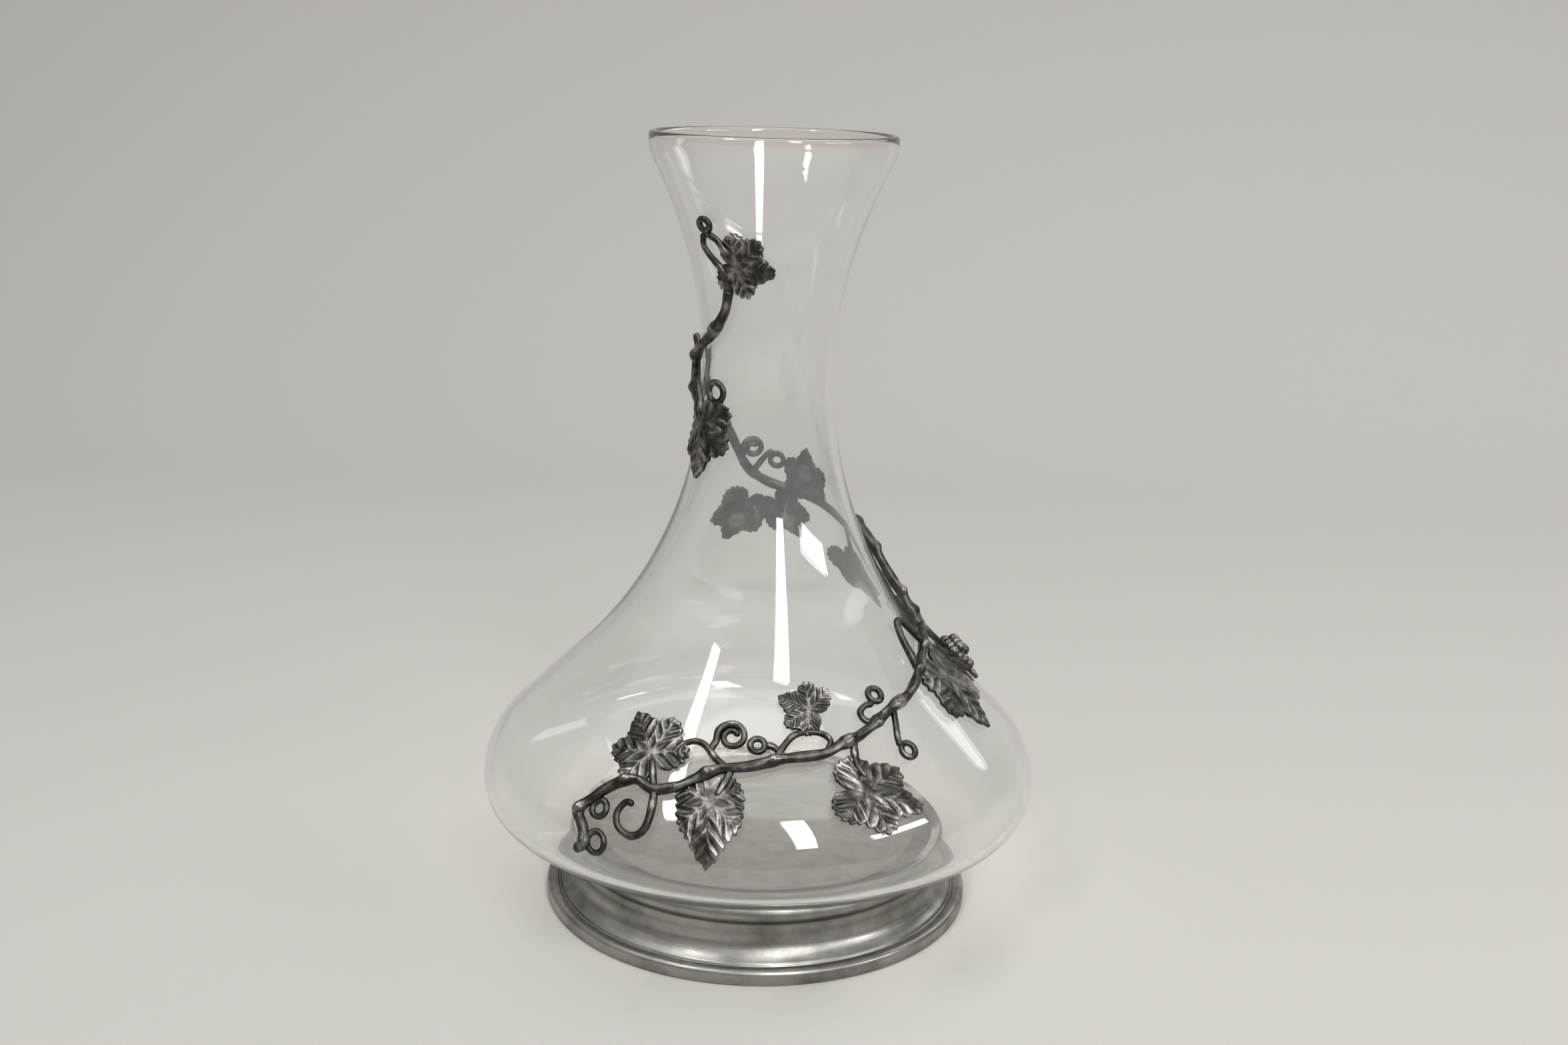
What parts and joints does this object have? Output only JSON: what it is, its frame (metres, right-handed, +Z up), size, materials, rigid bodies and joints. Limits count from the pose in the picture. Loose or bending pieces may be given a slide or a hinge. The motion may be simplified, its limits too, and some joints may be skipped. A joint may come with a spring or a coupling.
{
  "type": "glass carafe",
  "caption": "Clear glass carafe with a wide low belly and a tall flared neck, seated on a turned pewter foot and wound round with a cast grapevine of leaves, stems, tendrils and grapes.",
  "frame": {"origin": "middle of the foot's underside, on the axis of the glass", "axes": "+Z up along the axis of the glass, front towards -Y, +X to the right seen from the front"},
  "size_m": [0.178, 0.1785, 0.245],
  "materials": {
    "glass": "clear blown glass, polished, slightly wavy",
    "foot_pewter": "satin turned pewter",
    "vine_pewter": "dark oxidised cast pewter with bright worn ridges",
    "cement": "grey setting cement, matt"
  },
  "bodies": {
    "root": {"arch_tendril": "vine_pewter", "back_left_leaf": "vine_pewter", "back_low_leaf": "vine_pewter", "back_middle_leaf": "vine_pewter", "back_right_leaf": "vine_pewter", "back_ring": "vine_pewter", "back_spiral": "vine_pewter", "back_stem": "vine_pewter", "back_tendril": "vine_pewter", "bunch_leaf": "vine_pewter", "bunch_stalk": "vine_pewter", "crook_ring": "vine_pewter", "crook_tendril": "vine_pewter", "down_leaf": "vine_pewter", "down_leaf_stalk": "vine_pewter", "foot_plate": "foot_pewter", "foot_ring": "foot_pewter", "front_ring": "vine_pewter", "front_stem": "vine_pewter", "glass_body": "glass", "glue_dots": "cement", "grape_bunch": "vine_pewter", "hook_tendril": "vine_pewter", "left_leaf": "vine_pewter", "left_leaf_stalk": "vine_pewter", "link_tendril": "vine_pewter", "lower_neck_leaf": "vine_pewter", "middle_leaf": "vine_pewter", "neck_bud": "vine_pewter", "neck_leaf_stalk": "vine_pewter", "neck_ring": "vine_pewter", "neck_stem": "vine_pewter", "right_leaf": "vine_pewter", "right_leaf_stalk": "vine_pewter", "right_ring": "vine_pewter", "right_tendril": "vine_pewter", "rising_stem": "vine_pewter", "seat_cement": "cement", "side_bud_leaf": "vine_pewter", "side_leaf": "vine_pewter", "side_loop": "vine_pewter", "side_stem": "vine_pewter", "spiral_tendril": "vine_pewter", "tail_curl": "vine_pewter", "tail_ring": "vine_pewter", "tail_small_ring": "vine_pewter", "tail_stem": "vine_pewter", "top_ring": "vine_pewter", "top_strand": "vine_pewter", "top_tendril": "vine_pewter", "upper_neck_leaf": "vine_pewter"}
  },
  "joints": []
}
